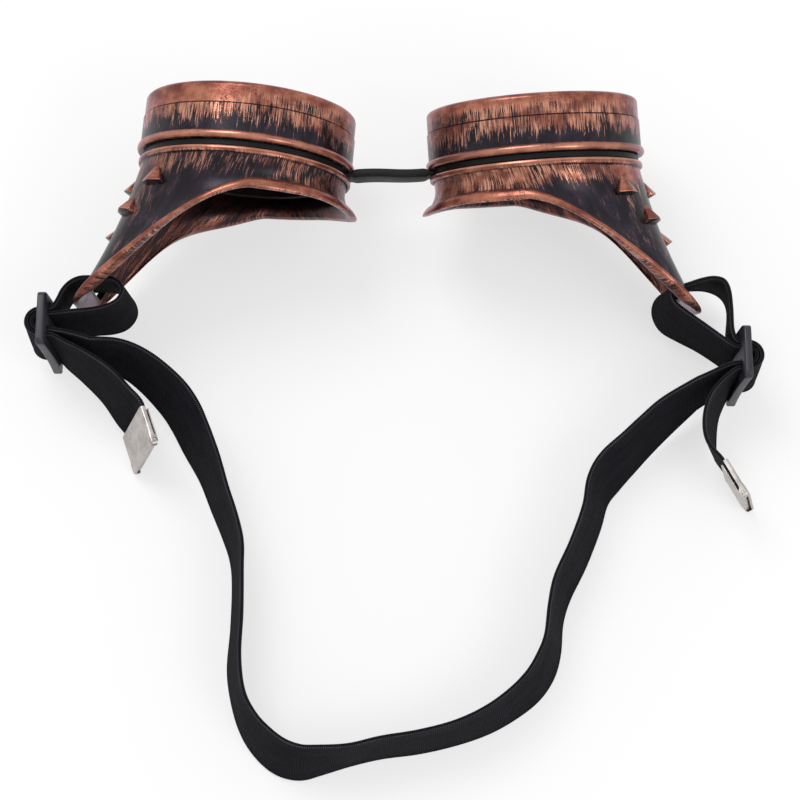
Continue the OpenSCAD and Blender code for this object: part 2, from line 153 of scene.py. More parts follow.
def gathered(parts):
    """Points and faces of several pieces as one list of each."""
    points, faces, count = [], [], 0
    for verts, polygons in parts:
        faces += [[k + count for k in face] for face in polygons]
        points.append(verts)
        count += len(verts)
    return np.vstack(points), faces


def taken(bm):
    """Points and faces of a bmesh, which is freed."""
    points = np.array([v.co[:] for v in bm.verts])
    faces = [[v.index for v in face.verts] for face in bm.faces]
    bm.free()
    return points, faces


def cut(obj, cutter, sharp):
    """The object less the cutter, which is removed."""
    mod = obj.modifiers.new("cut", "BOOLEAN")
    mod.operation = "DIFFERENCE"
    mod.object = cutter
    mod.solver = "EXACT"
    graph = bpy.context.evaluated_depsgraph_get()
    mesh = bpy.data.meshes.new_from_object(obj.evaluated_get(graph))
    obj.modifiers.clear()
    obj.data = mesh
    bpy.data.objects.remove(cutter)
    mesh.shade_smooth()
    mesh.set_sharp_from_angle(angle=radians(sharp))


# Materials
class Nodes:
    """Short names for the shader nodes used here, in one tree."""

    def __init__(self, tree):
        self.tree = tree

    def add(self, kind, **props):
        node = self.tree.nodes.new("ShaderNode" + kind)
        inputs = props.pop("inputs", {})
        for key, value in props.items():
            setattr(node, key, value)
        for key, value in inputs.items():
            self.put(node.inputs[key], value)
        return node

    def put(self, socket, value):
        if isinstance(value, bpy.types.NodeSocket):
            self.tree.links.new(value, socket)
        else:
            socket.default_value = value

    def attribute(self, name, vector=False):
        node = self.add("Attribute", attribute_name=name)
        return node.outputs["Vector" if vector else "Fac"]

    def object_point(self):
        return self.add("TexCoord").outputs["Object"]

    def scaled(self, vector, scale):
        return self.add("Mapping", inputs={"Vector": vector, "Scale": scale}).outputs[0]

    def noise(self, vector, scale, detail, rough, distortion=0.0):
        node = self.add("TexNoise", inputs={
            "Vector": vector, "Scale": scale, "Detail": detail, "Roughness": rough, "Distortion": distortion})
        return node.outputs[0]

    def math(self, op, a, b):
        node = self.add("Math", operation=op)
        self.put(node.inputs[0], a)
        self.put(node.inputs[1], b)
        return node.outputs[0]

    def product(self, a, b):
        return self.math("MULTIPLY", a, b)

    def total(self, start, *terms):
        """start plus each factor times its socket."""
        out = start
        for factor, socket in terms:
            node = self.add("Math", operation="MULTIPLY_ADD")
            self.put(node.inputs[0], socket)
            self.put(node.inputs[1], factor)
            self.put(node.inputs[2], out)
            out = node.outputs[0]
        return out

    def ramp(self, value, low, high, to_low=0.0, to_high=1.0):
        """A smooth step from to_low at low to to_high at high."""
        node = self.add("MapRange", interpolation_type="SMOOTHSTEP", inputs={
            "Value": value, "From Min": low, "From Max": high, "To Min": to_low, "To Max": to_high})
        return node.outputs[0]

    def mix(self, fac, a, b):
        node = self.add("Mix", data_type="RGBA")
        self.put(node.inputs[0], fac)
        self.put(node.inputs[6], a)
        self.put(node.inputs[7], b)
        return node.outputs[2]

    def bump(self, height, distance, strength):
        node = self.add("Bump", inputs={"Height": height, "Distance": distance, "Strength": strength})
        return node.outputs[0]


class Material(Nodes):
    """A new material with its shader."""

    def __init__(self, name):
        self.mat = bpy.data.materials.new(name)
        self.mat.use_nodes = True
        super().__init__(self.mat.node_tree)
        self.shader = self.tree.nodes["Principled BSDF"]

    def finish(self, **sockets):
        """Values and links for the shader, by socket name with _ for a space."""
        for key, value in sockets.items():
            self.put(self.shader.inputs[key.replace("_", " ")], value)
        return self.mat


def rgb(*screen):
    """Linear colour from 0..255 screen values."""
    lit = [c / 255 for c in screen]
    return tuple(c / 12.92 if c < 0.0408 else ((c + 0.055) / 1.055) ** 2.4 for c in lit) + (1.0,)


# Aged copper: colours, then noise cells per millimetre, with y along the wall and x and z round it
PAINTS = rgb(11, 8, 11), rgb(34, 27, 37)
COPPERS = rgb(110, 58, 47), rgb(172, 110, 89)
GOLD = rgb(206, 152, 128)
PAINTED_HIGHLIGHT = rgb(234, 176, 150)
PAINTED_SHADE_BROWN = rgb(20, 10, 9)
PAINT_SHEEN = rgb(238, 230, 250)
STROKE_CELLS = (4.2, 0.2, 4.2)
CLUMP_CELLS = (0.3, 0.16, 0.3)
TONE_CELLS = (0.14, 0.2, 0.14)
SPECK_CELLS = 2.2
# From and to what rub an edge counts as worn, the strokes lose their gold, and a crest gets a painted
# highlight
WORN = 0.68, 0.88
GOLD_GONE = 0.68, 0.9
CREST_HIGHLIGHT = 0.92, 0.99
# How much strokes and specks break up the cover, on a wall and on a worn edge
STROKE_DEPTH = 2.1, 0.35
SPECK_DEPTH = 0.5, 2.0
# Level at which copper starts to cover the paint, and at which it covers it all
COVERED = 0.45, 0.62


def aged_copper():
    """Dark purple-grey paint with copper brushed over it: strokes on the walls, full cover on the beads.

    Attributes of the mesh steer it: rub is the amount of copper, shade how far it darkens to a dark brown, as
    painted shade inside the cups, in their openings and under the strap and as a plain darkening of one cup's
    outer wall, and grain the point in millimetres that the strokes follow."""
    n = Material("aged_copper")
    grain = n.attribute("grain", vector=True)
    rub = n.attribute("rub")
    shade = n.attribute("shade")
    fine = n.noise(n.scaled(grain, STROKE_CELLS), 1.0, 3, 0.5, 0.1)
    clump = n.noise(n.scaled(grain, CLUMP_CELLS), 1.0, 2, 0.5)
    speck = n.noise(grain, SPECK_CELLS, 3, 0.65)
    tone = n.noise(n.scaled(grain, TONE_CELLS), 1.0, 3, 0.6)

    # Where the copper covers the paint
    worn = n.ramp(rub, *WORN)
    strokes = n.product(n.math("SUBTRACT", fine, 0.5), n.ramp(worn, 0, 1, *STROKE_DEPTH))
    scuffs = n.product(n.math("SUBTRACT", speck, 0.5), n.ramp(worn, 0, 1, *SPECK_DEPTH))
    level = n.total(n.math("SUBTRACT", rub, 0.5), (1.0, strokes), (1.0, scuffs), (1.0, clump))
    cover = n.ramp(level, *COVERED)

    # Bare strokes on the outer walls are gold where no painted shade falls, and the crests of the beads get a
    # painted highlight
    bare = n.product(n.ramp(rub, *GOLD_GONE, 1, 0.1), n.ramp(shade, 0.05, 0.2, 1, 0))
    gold = n.product(bare, n.product(n.ramp(fine, 0.46, 0.62), n.ramp(tone, 0.38, 0.6, 0.15, 1)))
    solid = n.mix(n.ramp(tone, 0.3, 0.7), *COPPERS)
    copper = n.mix(gold, solid, GOLD)
    # Painted highlight: rub near 1 mixes in a pale copper
    copper = n.mix(n.ramp(rub, *CREST_HIGHLIGHT, 0, 0.3), copper, PAINTED_HIGHLIGHT)
    paint = n.mix(n.ramp(clump, 0.35, 0.65), *PAINTS)
    # Painted shade: the shade attribute darkens the colour toward a dark brown
    color = n.mix(shade, n.mix(cover, paint, copper), PAINTED_SHADE_BROWN)

    rough = n.math("ADD", n.product(speck, 0.2), n.ramp(cover, 0, 1, 0.2, 0.13))
    height = n.math("ADD", n.product(cover, 0.6), n.product(speck, 0.3))
    return n.finish(Base_Color=color, Metallic=n.ramp(cover, 0, 1, 0.0, 0.7), Roughness=rough,
                    Specular_IOR_Level=0.28, Specular_Tint=PAINT_SHEEN, Normal=n.bump(height, 0.0001, 0.6))


def rubber(name, shade, rough, specular=0.3):
    """Dark rubber or plastic with a fine grain and faint smears; shade is its darker screen colour."""
    n = Material(name)
    p = n.object_point()
    grain = n.noise(p, 2600, 3, 0.6)
    smear = n.noise(p, 130, 3, 0.6)
    color = n.mix(n.ramp(smear, 0.3, 0.7), rgb(*shade), rgb(*[c + 9 for c in shade]))
    return n.finish(Base_Color=color, Roughness=n.ramp(smear, 0.3, 0.7, rough - 0.07, rough + 0.08),
                    Specular_IOR_Level=specular, Normal=n.bump(grain, 0.00003, 0.5))


YARNS = rgb(6, 6, 8), rgb(16, 15, 19)
# Painted highlight on the rib crests
RIB_HIGHLIGHT = rgb(38, 36, 44)
LINT = rgb(84, 82, 92)
STITCH = rgb(92, 90, 99)


def webbing():
    """Near-black elastic: the ribs are in the mesh, the yarns, lint and edge stitches come from the shader.

    The mesh gives run, the millimetres along and across the webbing, the rib crests, which the shader
    lightens as a painted highlight, and its stitches."""
    n = Material("strap_elastic")
    run = n.attribute("run", vector=True)
    crest_light = n.attribute("crest_light")
    stitch = n.attribute("stitch")
    yarn = n.noise(n.scaled(run, (1.6, 5.2, 1.0)), 1.0, 3, 0.65)
    lint = n.noise(run, 6.0, 2, 0.7)
    patches = n.noise(n.scaled(run, (0.12, 0.35, 1.0)), 1.0, 2, 0.5)
    color = n.mix(n.ramp(yarn, 0.3, 0.7), *YARNS)
    # Painted highlight on the rib crests, patchy along the webbing
    color = n.mix(n.product(crest_light, n.ramp(patches, 0.35, 0.65, 0.35, 0.75)), color, RIB_HIGHLIGHT)
    color = n.mix(n.ramp(lint, 0.7, 0.76, 0, 0.5), color, LINT)
    color = n.mix(n.product(stitch, n.ramp(patches, 0.35, 0.65, 0.6, 1.0)), color, STITCH)
    height = n.math("ADD", n.product(yarn, 0.7), n.product(lint, 0.3))
    return n.finish(Base_Color=color, Roughness=n.ramp(yarn, 0.3, 0.7, 0.78, 0.9),
                    Specular_IOR_Level=0.1, Normal=n.bump(height, 0.0001, 0.8))


NICKELS = rgb(158, 151, 147), rgb(196, 190, 186)
SCRATCH = rgb(120, 114, 112)


def nickel():
    """Clouded nickel plate with fine scratches and flecks."""
    n = Material("clip_nickel")
    p = n.object_point()
    cloud = n.noise(p, 260, 4, 0.6)
    fleck = n.noise(p, 3200, 2, 0.6)
    scratch = n.noise(n.scaled(p, (900, 5200, 900)), 1.0, 2, 0.6)
    color = n.mix(n.ramp(cloud, 0.3, 0.7), *NICKELS)
    color = n.mix(n.ramp(scratch, 0.62, 0.72, 0, 0.35), color, SCRATCH)
    return n.finish(Base_Color=color, Metallic=0.9, Roughness=n.ramp(cloud, 0.3, 0.7, 0.3, 0.44),
                    Normal=n.bump(fleck, 0.00002, 0.6))


SMOKES = rgb(30, 32, 34), rgb(38, 40, 42)


def lens_glass():
    """Smoked lens, glossy, with a faint haze."""
    n = Material("smoked_lens")
    haze = n.noise(n.object_point(), 90, 3, 0.55)
    color = n.mix(n.ramp(haze, 0.35, 0.65), *SMOKES)
    return n.finish(Base_Color=color, Roughness=n.ramp(haze, 0.3, 0.7, 0.05, 0.1),
                    Coat_Weight=0.5, Coat_Roughness=0.04)


MATS = {
    "aged_copper": aged_copper(),
    "smoked_lens": lens_glass(),
    "gasket_rubber": rubber("gasket_rubber", (24, 23, 24), 0.6),
    "bridge_rubber": rubber("bridge_rubber", (14, 13, 15), 0.42, 0.16),
    "strap_elastic": webbing(),
    "slider_plastic": rubber("slider_plastic", (36, 34, 42), 0.38, 0.4),
    "clip_nickel": nickel(),
}


def dress(obj, slot):
    obj.data.materials.clear()
    obj.data.materials.append(MATS[slot])


def finish_piece(obj, slot, node):
    """Material, slot and the CAD node that the piece stands for."""
    dress(obj, slot)
    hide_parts(node)


# Eyecups
# Along x from the lens axis: where the rim narrows to the tongue and over what run, where it starts to sweep
# back and how fast, and where its nose end starts to dip and how far
NARROW_FROM, NARROW_RUN = 5, 29
SWEEP_FROM, SWEEP_POWER = -5.0, 1.5
NOSE_FROM, NOSE_DIP = 20, 2.2
TONGUE_SQUARE = 0.65


def rim_point(t):
    """The rim at angle t round the lens axis: 0 is the tongue, a right angle the brow."""
    c, s = np.cos(t), np.sin(t)
    a = (TONGUE_REACH - NOSE_REACH) / 2 + (TONGUE_REACH + NOSE_REACH) / 2 * c
    square = np.where(c < 0, 1, 1 - TONGUE_SQUARE * c * c)
    high = RIM_HIGH - (RIM_HIGH - TONGUE_HIGH) * rise((a - NARROW_FROM) / NARROW_RUN)
    cheek = BROW_EXTRA + CHEEK_CUT * np.sin(np.pi * rise(a / TONGUE_REACH))
    swept = np.maximum(a - SWEEP_FROM, 0) / (TONGUE_REACH - SWEEP_FROM)
    dipped = np.maximum(-a - NOSE_FROM, 0) / (NOSE_REACH - NOSE_FROM)
    depth = BROW_DEPTH + (TONGUE_DEPTH - BROW_DEPTH) * swept ** SWEEP_POWER + NOSE_DIP * dipped ** 2
    return np.stack([a, cheek * (1 - s) / 2 - depth, high * np.abs(s) ** square * np.sign(s)], -1)


def around(t):
    return np.stack([np.cos(t), 0 * t, np.sin(t)], -1)


def neck_point(t):
    return NECK_R * around(t) + [0, NECK_Y, 0]


def wall_point(t, u):
    """Outside of the wall at angle t, from the neck at u = 0 to the rim at u = 1."""
    u = np.asarray(u, float)[..., None] if np.ndim(u) else u
    return neck_point(t) + (rim_point(t) - neck_point(t)) * u - around(t) * WALL_DIP * np.sin(np.pi * u)


def wall_frame(t, u):
    """A point of the wall, the ways round it and back along it, and the way out of it."""
    t = np.float64(t)
    back = unit(wall_point(t, u + 0.02) - wall_point(t, u - 0.02))
    side = wall_point(t + 0.035, u) - wall_point(t - 0.035, u)
    out = unit(np.cross(side, back))
    return wall_point(t, u), unit(np.cross(back, out)), back, out


def laid_on(local, point, x, y, z):
    """Points given along the axes x, y and z from point."""
    return point + local[:, :1] * x + local[:, 1:2] * y + local[:, 2:] * z


COLS = 264
WALL_STEPS = 34
BEAD_STEPS = 13
ANGLES = np.linspace(0, 2 * np.pi, COLS, endpoint=False)
TEMPLE = np.cos(ANGLES)
FIRST_U = 0.035


def revolved(r, y):
    return r * around(ANGLES) + [0, y, 0]


# Radius, y and copper, from the barrel's front edge over the bridge's groove to the back of the flange
# The flange's front edge carries rub enough for a painted highlight
BARREL_PROFILE = [
    (BARREL_IN, BARREL_FRONT, 0.2), (BARREL_R - 0.4, BARREL_FRONT, 0.2), (BARREL_R, BARREL_FRONT - 0.4, 0.2),
    (BARREL_R, GROOVE_FRONT, 0.1), (BARREL_R, FLANGE_FRONT + 0.15, 0.1), (BARREL_R + 0.2, FLANGE_FRONT, 0.1),
    (RING_R - 0.7, FLANGE_FRONT, 0.5), (RING_R - 0.25, FLANGE_FRONT - 0.12, 0.96),
    (RING_R, FLANGE_FRONT - 0.5, 1), (RING_R, FLANGE_FRONT - 0.9, 0.92), (RING_R, FLANGE_BACK + 0.5, 0.78),
    (RING_R - 0.2, FLANGE_BACK + 0.16, 0.6), (RING_R - 0.6, FLANGE_BACK, 0.1)]
# The same inside, from the neck to the barrel
NECK_PROFILE = [
    (NECK_R - CUP_WALL - 0.5, FLANGE_BACK, 0.2), (BARREL_IN + 0.4, FLANGE_BACK, 0.2),
    (BARREL_IN, FLANGE_BACK + 0.4, 0.3)]
# Painted shade on the neck deep inside the cup
NECK_SHADE = 0.85

# Copper strokes on the walls: the amount behind the flange, what the nose adds, and over how many millimetres
# they start and fade; then the strokes along the tongue, and the least amount anywhere
COPPER_COVER = {"left": 0.3, "right": 0.52}
NOSE_COVER = 0.14
BARE = 0.1
COVER_START, FADE_START, FADE_RUN, NOSE_FADE = 1.2, 3.5, 4.5, 5
TONGUE_COVER, TONGUE_FADE = 0.24, 40
LEAST_COVER = 0.08
# How far the outside of each wall darkens, and how dark the strap's painted shadow makes the tongues' ends on
# both sides
WALL_DULL = {"left": 0.13, "right": 0.0}
STRAP_SHADOW = 0.55


def cup_rows(cover, dull):
    """Closed profile round the wall of the cup as rows of points, with the copper and darkness of each."""
    rows, rub, shade = [], [], []

    def row(points, copper, dim=0.0):
        rows.append(points)
        rub.append(np.broadcast_to(np.asarray(copper, float), ANGLES.shape))
        shade.append(np.broadcast_to(np.asarray(dim, float), ANGLES.shape))

    length = np.linalg.norm(rim_point(ANGLES) - neck_point(ANGLES), axis=1)
    nose = rise(-1.4 * TEMPLE)
    tongue = rise((TEMPLE - 0.1) / 0.7)
    ear = rise((TEMPLE - 0.9) / 0.09)
    heavy = tongue * (1 - ear)
    lip = 1 - (RIM_LIP_W + TONGUE_LIP_W * heavy) / length

    for r, y, copper in BARREL_PROFILE:
        row(revolved(r, y), copper)
    # The outside of the wall, darker toward the tongue's end with the strap's painted shadow
    for i in range(WALL_STEPS):
        k = i / (WALL_STEPS - 1)
        u = FIRST_U + (lip - FIRST_U) * k
        far = u * length
        copper = BARE + (cover + NOSE_COVER * nose - BARE) * rise(far / COVER_START)
        copper = copper * (1 - rise((far - FADE_START) / (FADE_RUN + NOSE_FADE * nose))) + LEAST_COVER
        copper = copper + TONGUE_COVER * rise((TEMPLE - 0.45) / 0.3) * (1 - rise(far / TONGUE_FADE))
        row(wall_point(ANGLES, u), np.where(k > 0.97, BARE, copper), np.maximum(STRAP_SHADOW * ear * k, dull))
    # The bead on the rim, with most copper on its crest and the strap's painted shadow at the tongue's end
    for b in np.linspace(0, np.pi, BEAD_STEPS):
        along = 1 - (1 - lip) * (0.5 + 0.5 * math.cos(b))
        lift = (RIM_BEAD_H + TONGUE_BEAD_H * heavy)[:, None] * math.sin(b)
        copper = 0.79 + 0.13 * math.sin(b) ** 2 - 0.22 * rise((b - 2.4) / 0.7)
        row(wall_point(ANGLES, along) + around(ANGLES) * lift, copper, STRAP_SHADOW * ear)
    # The inside of the wall: a dark line behind the bead, the roll along the tongue, and painted shade,
    # deeper with depth
    for i in range(WALL_STEPS):
        k = (i / (WALL_STEPS - 1)) ** 1.6
        deep = k * length
        inset = CUP_WALL * min(1, 0.25 + 0.75 * math.sqrt(min(1, k * 14)))
        inset = inset + INNER_ROLL_H * heavy * np.exp(-((deep - 0.9) / INNER_ROLL_W) ** 2)
        dim = np.maximum(0.12 + rise(k / 0.5) * (0.7 - 0.45 * tongue), STRAP_SHADOW * ear)
        copper = 0.82 - 0.27 * rise(k / 0.12) - 0.1 * rise(k) - 0.25 * np.exp(-(deep / 0.8) ** 2)
        row(wall_point(ANGLES, 1 - k * (1 - FIRST_U)) - around(ANGLES) * inset[:, None], copper, dim)
    for r, y, copper in NECK_PROFILE:
        row(revolved(r, y), copper, NECK_SHADE)
    return np.array(rows), np.array(rub), np.array(shade)


def grain_of(rows):
    """Stroke coordinates: round the cup at one radius, and the distance run along the wall."""
    step = np.linalg.norm(np.diff(rows, axis=0), axis=2)
    run = np.vstack([np.zeros(rows.shape[1]), np.cumsum(step, axis=0)])
    flat = np.broadcast_to(around(ANGLES) * RING_R, rows.shape).copy()
    flat[..., 1] = run
    return flat


# Thorns: angle round the cup in degrees, and place from the neck to the rim
THORNS = [(44, 0.21), (0, 0.16), (-44, 0.21), (26, 0.38), (-26, 0.38), (0, 0.49)]
THORN_W, THORN_L, THORN_H, THORN_ROOT = 7.8, 5.3, 3.1, 0.9
THORN_SOFT = 0.26
# Copper on the raised edge, high enough for its painted highlight, on the ramp, what it loses toward the
# wall, and on the face behind the edge
THORN_HIGHLIGHT, THORN_RAMP, THORN_LOW, THORN_FACE = 0.99, 0.87, 0.12, 0.12


def thorn(index, t, u):
    """Wedge in relief: its tip lies on the wall toward the ring, and its raised edge ends in a dark face."""
    point, _, _, out = wall_frame(radians(t), u)
    rearward = unit(np.array([0, -1.0, 0]) + out[1] * out)
    sideways = unit(np.cross(rearward, out))
    half, sunk = THORN_W / 2, -THORN_ROOT
    tip, edge, back = -0.7 * THORN_L - 1.2, 0.3 * THORN_L, 0.5 * THORN_L
    bm = bmesh.new()
    corners = [bm.verts.new(corner) for corner in (
        (0, tip, sunk), (-0.85 * half, back, sunk), (0.85 * half, back, sunk),
        (-0.95 * half, edge, 0.5 * THORN_H), (0.95 * half, edge, 0.5 * THORN_H), (0, edge, THORN_H))]
    bmesh.ops.convex_hull(bm, input=corners)
    bmesh.ops.recalc_face_normals(bm, faces=bm.faces)
    every = bm.edges[:] + bm.verts[:]
    bmesh.ops.bevel(bm, geom=every, offset=THORN_SOFT, segments=3, affect="EDGES", profile=0.5)
    local, faces = taken(bm)
    low = 1 - np.clip(local[:, 2] / (0.6 * THORN_H), 0, 1)
    copper = np.where(local[:, 1] > edge - 0.2, THORN_HIGHLIGHT, THORN_RAMP - THORN_LOW * low)
    copper = np.where(local[:, 1] > edge + 0.03, THORN_FACE, copper)
    return laid_on(local, point, sideways, rearward, out), faces, local + [index * 17, 0, 3], copper


# The strap slot and two vents in the tongue's middle: place from the neck to the rim, size and corner radius
OPENINGS = [(0.82, (21, 4.4, 16), 0.8), (0.62, (9, 1.5, 12), 0.5), (0.7, (9, 1.5, 12), 0.5)]


def opening(u, size, corner):
    """Block that cuts an opening in the wall, with rounded corners."""
    bm = bmesh.new()
    bmesh.ops.create_cube(bm, size=1, matrix=Matrix.Diagonal((*size, 1)))
    upright = [e for e in bm.edges if abs((e.verts[0].co - e.verts[1].co).normalized().z) > 0.9]
    bmesh.ops.bevel(bm, geom=upright, offset=corner, segments=4, affect="EDGES", profile=0.5)
    local, faces = taken(bm)
    return laid_on(local, *wall_frame(0.0, u)), faces


# Where in the noise each copper piece lies, so that no two carry the same strokes
CUP_GRAIN = {"left": [0, 40, 7], "right": [0, 0, 0]}
RING_GRAIN = {"left": [0, 75, 0], "right": [0, 120, 0]}
CUP_SHARP = 38


def build_cup(side):
    m = cup_matrix(side)
    rows, rub, shade = cup_rows(COPPER_COVER[side], WALL_DULL[side])
    verts, faces = loft(rows, looped=True)
    cup = make(side + "_cup_shell", placed(verts, m), faces, CUP_SHARP, {
        "grain": grain_of(rows).reshape(-1, 3) + CUP_GRAIN[side], "rub": rub.ravel(), "shade": shade.ravel()})
    points, faces = gathered([opening(*row) for row in OPENINGS])
    n = len(points)
    # The walls that the cutter leaves in the openings take painted shade
    cutter = make(side + "_cutter", placed(points, m), faces, 30, {
        "grain": points, "rub": np.full(n, BARE), "shade": np.full(n, 0.6)})
    cut(cup, cutter, CUP_SHARP)
    finish_piece(cup, "aged_copper", side + "_cup")
    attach(cup, side + "_eyecup")

    parts, grain, copper = [], [], []
    for i, (t, u) in enumerate(THORNS):
        verts, faces, at, rub = thorn(i, t, u)
        parts.append((verts, faces))
        grain.append(at + CUP_GRAIN[side])
        copper.append(rub)
    points, faces = gathered(parts)
    horns = make(side + "_thorns", placed(points, m), faces, 30, {
        "grain": np.vstack(grain), "rub": np.concatenate(copper), "shade": np.zeros(len(points))})
    finish_piece(horns, "aged_copper", side + "_cup")
    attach(horns, side + "_eyecup")


RING_SEAT = -3.93
LENS_POCKET_R = LENS_R + 0.1
MOUTH_BACK = -2
STEP_W = 0.45


def ring_profile():
    """Radius, y and copper round the wall of the ring, and which rows are its front band."""
    front = [(MOUTH_R, -0.5, 0.86), (MOUTH_R + 0.15, -0.15, 0.9), (MOUTH_R + 0.5, 0, 0.9),
             (FRONT_R - 2.2, 0, 0.86), (FRONT_R - 1.3, -0.06, 0.88), (FRONT_R - 0.6, -0.35, 0.92),
             (FRONT_R - 0.18, -0.8, 0.9), (FRONT_R, -1.3, 0.88)]
    band = [(FRONT_R, -1.5 - (BAND_LEN - 1.6) * k, 1 - rise((k - 0.1) / 0.5)) for k in np.linspace(0, 1, 12)]
    step = [(FRONT_R - 0.12, -BAND_LEN - 0.02, 0.1), (FRONT_R - 0.12, -BAND_LEN - 0.22, 0.1),
            (RING_R, -BAND_LEN - 0.34, 0.72)]
    bead_front = BEAD_W - RING_DEPTH
    run = RING_DEPTH - BEAD_W - BAND_LEN - STEP_W
    wall = [(RING_R, -BAND_LEN - STEP_W - run * k, 0.56 * (1 - rise((k - 0.12) / 0.88)) + LEAST_COVER)
            for k in np.linspace(0, 1, 14)]
    foot = [(RING_R - 0.08, bead_front + 0.3, 0), (RING_R + 0.02, bead_front, 0.3)]
    # The bead's crest carries rub enough for a painted highlight
    bead = [(RING_R + BEAD_H * math.sin(b), -RING_DEPTH + BEAD_W * (0.5 + 0.5 * math.cos(b)),
             0.82 + 0.15 * math.sin(b)) for b in np.linspace(0, np.pi, 15)[1:-1]]
    inside = [(RING_R, -RING_DEPTH, 0.5), (BORE_R, -RING_DEPTH, BARE), (BORE_R, RING_SEAT, BARE),
              (LENS_POCKET_R, RING_SEAT, BARE), (LENS_POCKET_R, MOUTH_BACK, BARE),
              (MOUTH_R, MOUTH_BACK, BARE)]
    return front + band + step + wall + foot + bead + inside, slice(len(front), len(front) + len(band))


def band_cover(side):
    """Copper that the end of the ring's front band keeps: less toward the nose."""
    nose = 0.5 - 0.5 * TEMPLE
    return 0.88 - 0.3 * rise((nose - 0.3) / 0.5) if side == "left" else 0.7 - 0.14 * nose


def build_ring(side):
    profile, band = ring_profile()
    rows = np.array([revolved(r, y) for r, y, _ in profile])
    rub = np.repeat(np.array([copper for _, _, copper in profile])[:, None], COLS, 1)
    kept = band_cover(side)
    rub[band] = kept + (0.88 - kept) * rub[band]
    verts, faces = loft(rows, looped=True)
    ring = make(side + "_screw_ring", placed(verts, cup_matrix(side)), faces, 40, {
        "grain": grain_of(rows).reshape(-1, 3) + RING_GRAIN[side], "rub": rub.ravel(),
        "shade": np.zeros(rub.size)})
    finish_piece(ring, "aged_copper", side + "_ring")
    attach(ring, side + "_screw_ring")


# Straps
CURVE_STEPS = 8


def curve(points):
    """Smooth curve through points of four numbers: x, y, z and lean."""
    p = np.asarray(points, float)
    p = np.vstack([p[:1], p, p[-1:]])
    out = []
    for i in range(1, len(p) - 2):
        a, b, c, d = p[i - 1:i + 3]
        for k in np.arange(CURVE_STEPS) / CURVE_STEPS:
            out.append(0.5 * (2 * b + (c - a) * k + (2 * a - 5 * b + 4 * c - d) * k * k
                              + (3 * b - a - 3 * c + d) * k ** 3))
    out.append(p[-2])
    return np.array(out)


# Routes of the webbing, in millimetres and degrees of lean. The head strap's is written from MIDDLE, with the
# height of its lower edge above the table. The others are written from a slider's middle, with x toward the
# middle of the goggles: in from the head strap, round the slot of the eyecup, and out to the clip.
HEAD_ROUTE = [
    [-78, 6.3, 6.6, 12], [-71, 2.3, 6.2, 18], [-64, -4.2, 5.2, 23], [-60, -9.7, 4.4, 25],
    [-57, -15.7, 3.4, 24], [-53, -24.2, 2.2, 19], [-50, -32.7, 0.8, 16], [-47, -40.7, 0, 14],
    [-45, -47.7, 0, 12], [-44.5, -55.2, 0, 10], [-44.5, -67.7, 0, 11], [-45, -79.7, 0, 12],
    [-43.5, -89.7, 0, 11], [-40.5, -96.7, 0, 14], [-36.5, -101.7, 0, 17], [-32, -105.2, 0, 18],
    [-27, -106.7, 0, 16], [-22, -106.2, 0, 11], [-13.5, -104.7, 0, 4], [-5, -102.7, 0, 4],
    [5, -101.2, 0, 5], [15, -98.7, 0, 6], [23.5, -95.2, 0, 9], [30.5, -90.7, 0, 12], [36, -85.7, 0, 15],
    [39.5, -80.2, 0, 16], [41.5, -74.2, 0, 14], [42.5, -65.7, 0, 13], [44.5, -58.2, 0, 15],
    [49, -48.7, 0, 16], [53, -38.2, 0, 17], [55, -30.2, 0, 20], [58.5, -24.7, 0, 23], [64, -19.2, 0.6, 20],
    [69, -14.2, 1.2, 18], [74.5, -9.2, 2, 16]]
MAIN_ROUTE = {
    "left": [
        [12, -6, -1, -8], [9, -4.8, -0.6, -6], [6, -3.6, -0.3, -3], [3.6, -2.7, 0, 0]],
    "right": [
        [12, -7.8, -1, -8], [9, -6.2, -0.6, -6], [6, -4.3, -0.3, -3], [3.6, -2.8, 0, 0]]}
LOOP_ROUTE = {
    "left": [
        [3.4, 2.4, 0.4, 0], [7, 2.7, 0.8, 0], [12.5, 2.9, 1.6, 0], [17, 3.3, 2.4, 2], [20.6, 4.8, 3, 4],
        [22.4, 8.2, 3.6, 6], [20.4, 11.8, 4, 9], [16.8, 13.2, 4, 11], [13, 13.3, 4, 11], [9, 13.2, 3.4, 10],
        [6, 11.9, 2.4, 8], [3.9, 9.4, 1.4, 5], [2.9, 6.4, 0.6, 2]],
    "right": [
        [3.4, 3.3, 0.2, 0], [6, 5.2, 0.5, 0], [10.6, 8.4, 1, 1], [15.8, 11.5, 1.8, 4], [19.8, 14.3, 2.6, 7],
        [21, 18.2, 3.2, 11], [19.5, 21.2, 3.4, 15], [16.3, 22.1, 3.4, 17], [12, 23.4, 3, 15],
        [7.5, 24, 2.4, 12], [3.8, 22.8, 1.8, 9], [2.2, 19.5, 1.4, 7], [2.1, 14, 0.8, 4], [2.4, 9, 0.4, 2],
        [2.5, 6.6, 0.2, 0]]}
TAIL_ROUTE = {
    "left": [
        [2.6, -4.5, 0, 1], [5, -6.2, -1, 4], [9.7, -9, -2.6, 9], [16.1, -13.8, -5, 15],
        [20.8, -19.2, -7, 19]],
    "right": [
        [2.4, -4.9, 0, 2], [5, -7.9, -0.8, 7], [7.4, -12, -1.8, 12], [8.6, -17.6, -2.6, 15],
        [8.3, -23.4, -3, 14]]}
PIN_AT = {"left": [27.4, -33.4], "right": [-0.4, -38.2]}
HEADING = {"left": -71, "right": -118}
LEAN = {"left": 20, "right": 12}
